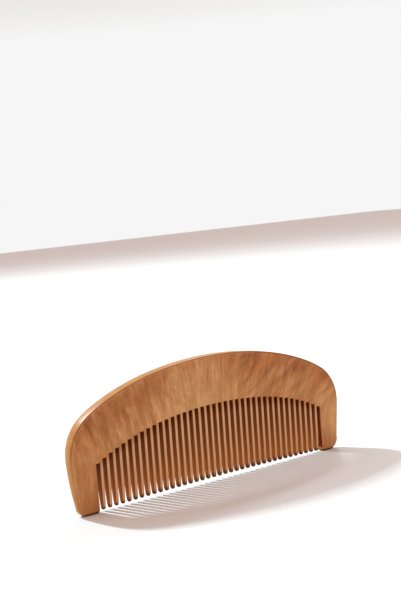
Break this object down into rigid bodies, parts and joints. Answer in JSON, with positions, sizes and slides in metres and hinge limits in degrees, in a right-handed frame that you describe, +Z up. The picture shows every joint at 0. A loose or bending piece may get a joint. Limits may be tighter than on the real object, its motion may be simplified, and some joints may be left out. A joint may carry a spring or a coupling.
{
  "type": "wooden comb",
  "caption": "Fine-toothed hair comb cut from one piece of wood, with a bowed back, rounded shoulders and two end guards that it stands on.",
  "frame": {"origin": "middle of the comb's box, on the surface that the feet of its two end guards stand on", "axes": "+X along the row of teeth, towards the guard that is on the right in the picture; +Y through the thickness, away from the viewer; +Z up, from the feet to the back"},
  "size_m": [0.1292, 0.0054, 0.0495],
  "materials": {
    "wood": "smooth sanded fruitwood with an oiled satin finish"
  },
  "bodies": {
    "root": {"comb": "wood"}
  },
  "joints": []
}
